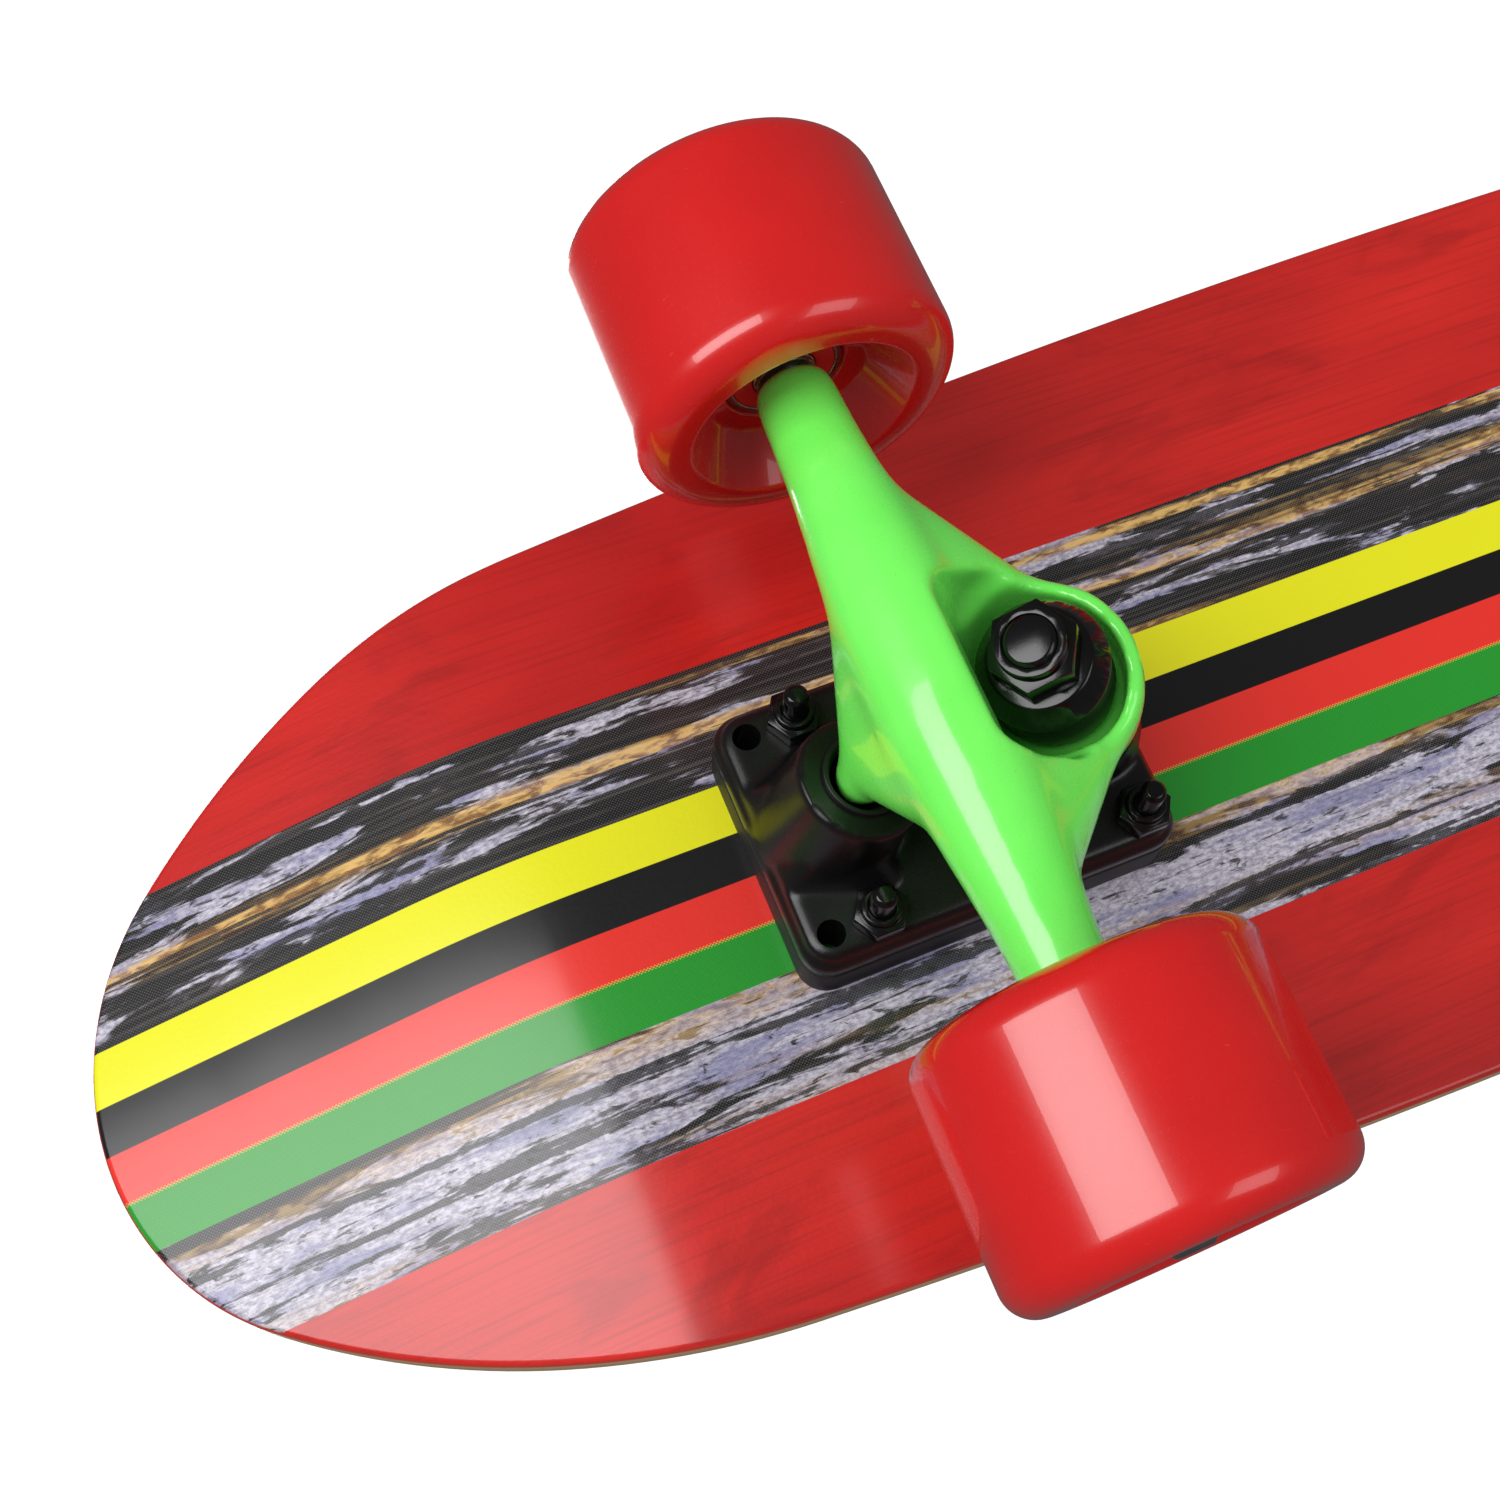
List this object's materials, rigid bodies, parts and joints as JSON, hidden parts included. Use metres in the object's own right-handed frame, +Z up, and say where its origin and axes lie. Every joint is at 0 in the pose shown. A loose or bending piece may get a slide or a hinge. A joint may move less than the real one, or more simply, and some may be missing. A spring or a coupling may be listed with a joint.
{
  "type": "skateboard",
  "caption": "Mini cruiser skateboard: kicked pressed deck on sprung steering trucks with soft rolling wheels.",
  "frame": {"origin": "on the ground under the middle of the board, standing on its wheels", "axes": "+X along the deck towards the front end, +Y to the left across the deck, +Z up"},
  "size_m": [0.69, 0.197, 0.1278],
  "materials": {
    "maple": "seven-ply maple, red stain and printed stripes underneath, clear lacquer",
    "grip_tape": "black silicon-carbide grit on film",
    "riser_rubber": "moulded hard rubber",
    "black_paint": "satin black coated die casting",
    "green_paint": "glossy bright green powder coat",
    "cup_plastic": "nylon",
    "black_steel": "black oxide, oiled",
    "bushing_urethane": "cast urethane",
    "zinc_steel": "bright zinc plate",
    "bearing_steel": "ground bearing steel",
    "seal_rubber": "red rubber seal",
    "wheel_urethane": "glossy red cast urethane"
  },
  "bodies": {
    "board": {"baseplate_front": "black_paint", "baseplate_rear": "black_paint", "board_bushing_front": "bushing_urethane", "board_bushing_rear": "bushing_urethane", "board_washer_front": "black_steel", "board_washer_rear": "black_steel", "deck": "maple", "deck_bolts_front": "black_steel", "deck_bolts_rear": "black_steel", "deck_nuts_front": "black_steel", "deck_nuts_rear": "black_steel", "grip_tape": "grip_tape", "kingpin_front": "black_steel", "kingpin_nut_front": "black_steel", "kingpin_nut_rear": "black_steel", "kingpin_rear": "black_steel", "pivot_cup_front": "cup_plastic", "pivot_cup_rear": "cup_plastic", "riser_pad_front": "riser_rubber", "riser_pad_rear": "riser_rubber", "road_bushing_front": "bushing_urethane", "road_bushing_rear": "bushing_urethane", "road_washer_front": "black_steel", "road_washer_rear": "black_steel"},
    "hanger_front": {"axle_front": "zinc_steel", "axle_nut_front_left": "zinc_steel", "axle_nut_front_right": "zinc_steel", "bearing_spacer_front_left": "zinc_steel", "bearing_spacer_front_right": "zinc_steel", "hanger_front": "green_paint", "inner_races_front_left": "bearing_steel", "inner_races_front_right": "bearing_steel", "speed_washers_front_left": "zinc_steel", "speed_washers_front_right": "zinc_steel"},
    "hanger_rear": {"axle_nut_rear_left": "zinc_steel", "axle_nut_rear_right": "zinc_steel", "axle_rear": "zinc_steel", "bearing_spacer_rear_left": "zinc_steel", "bearing_spacer_rear_right": "zinc_steel", "hanger_rear": "green_paint", "inner_races_rear_left": "bearing_steel", "inner_races_rear_right": "bearing_steel", "speed_washers_rear_left": "zinc_steel", "speed_washers_rear_right": "zinc_steel"},
    "wheel_front_left": {"balls_front_left": "bearing_steel", "bearing_seals_front_left": "seal_rubber", "outer_races_front_left": "bearing_steel", "wheel_front_left": "wheel_urethane"},
    "wheel_front_right": {"balls_front_right": "bearing_steel", "bearing_seals_front_right": "seal_rubber", "outer_races_front_right": "bearing_steel", "wheel_front_right": "wheel_urethane"},
    "wheel_rear_left": {"balls_rear_left": "bearing_steel", "bearing_seals_rear_left": "seal_rubber", "outer_races_rear_left": "bearing_steel", "wheel_rear_left": "wheel_urethane"},
    "wheel_rear_right": {"balls_rear_right": "bearing_steel", "bearing_seals_rear_right": "seal_rubber", "outer_races_rear_right": "bearing_steel", "wheel_rear_right": "wheel_urethane"}
  },
  "joints": [
    {"name": "steer_front", "type": "hinge", "parent": "board", "child": "hanger_front", "pos_m": [0.1571, 0, 0.0539], "axis": [-0.9779, 0, -0.209], "range_deg": [-10, 10], "stiffness_Nm_per_rad": 60, "deforming": ["board_bushing_front", "road_bushing_front"]},
    {"name": "steer_rear", "type": "hinge", "parent": "board", "child": "hanger_rear", "pos_m": [-0.1571, 0, 0.0539], "axis": [0.9779, 0, -0.209], "range_deg": [-10, 10], "stiffness_Nm_per_rad": 60, "deforming": ["board_bushing_rear", "road_bushing_rear"]},
    {"name": "roll_front_left", "type": "hinge", "parent": "hanger_front", "child": "wheel_front_left", "pos_m": [0.1847, 0.0763, 0.03], "axis": [0, 1, 0], "continuous": true},
    {"name": "roll_front_right", "type": "hinge", "parent": "hanger_front", "child": "wheel_front_right", "pos_m": [0.1847, -0.0763, 0.03], "axis": [0, 1, 0], "continuous": true},
    {"name": "roll_rear_left", "type": "hinge", "parent": "hanger_rear", "child": "wheel_rear_left", "pos_m": [-0.1847, 0.0763, 0.03], "axis": [0, 1, 0], "continuous": true},
    {"name": "roll_rear_right", "type": "hinge", "parent": "hanger_rear", "child": "wheel_rear_right", "pos_m": [-0.1847, -0.0763, 0.03], "axis": [0, 1, 0], "continuous": true}
  ]
}
